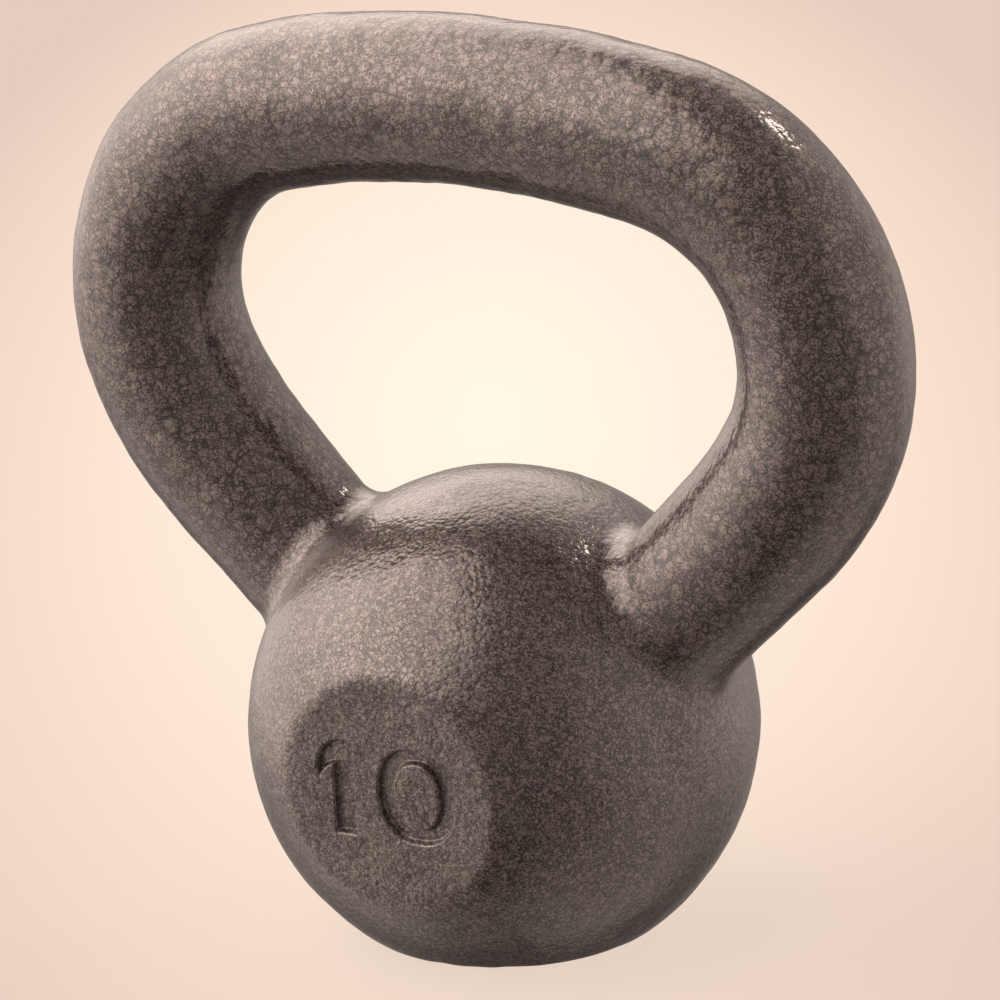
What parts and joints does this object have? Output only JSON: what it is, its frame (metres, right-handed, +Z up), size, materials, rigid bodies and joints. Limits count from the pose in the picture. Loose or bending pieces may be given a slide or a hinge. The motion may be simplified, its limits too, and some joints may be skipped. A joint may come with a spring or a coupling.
{
  "type": "kettlebell",
  "caption": "Small cast-iron kettlebell: flat-based ball with a numbered front flat and a thick looped bar handle rooted on the ball's shoulders, in grey hammered enamel.",
  "frame": {"origin": "centre of the flat base, on the floor", "axes": "+Z up, X across the handle, -Y out of the numbered front flat"},
  "size_m": [0.169, 0.0824, 0.1697],
  "materials": {
    "ball_enamel": "glossy warm-grey hammered enamel over cast iron",
    "handle_enamel": "glossy warm-grey hammered enamel over an iron bar",
    "weld_enamel": "glossy warm-grey hammered enamel over a dressed weld bead"
  },
  "bodies": {
    "root": {"ball": "ball_enamel", "handle": "handle_enamel", "left_root_weld": "weld_enamel", "right_root_weld": "weld_enamel"}
  },
  "joints": []
}
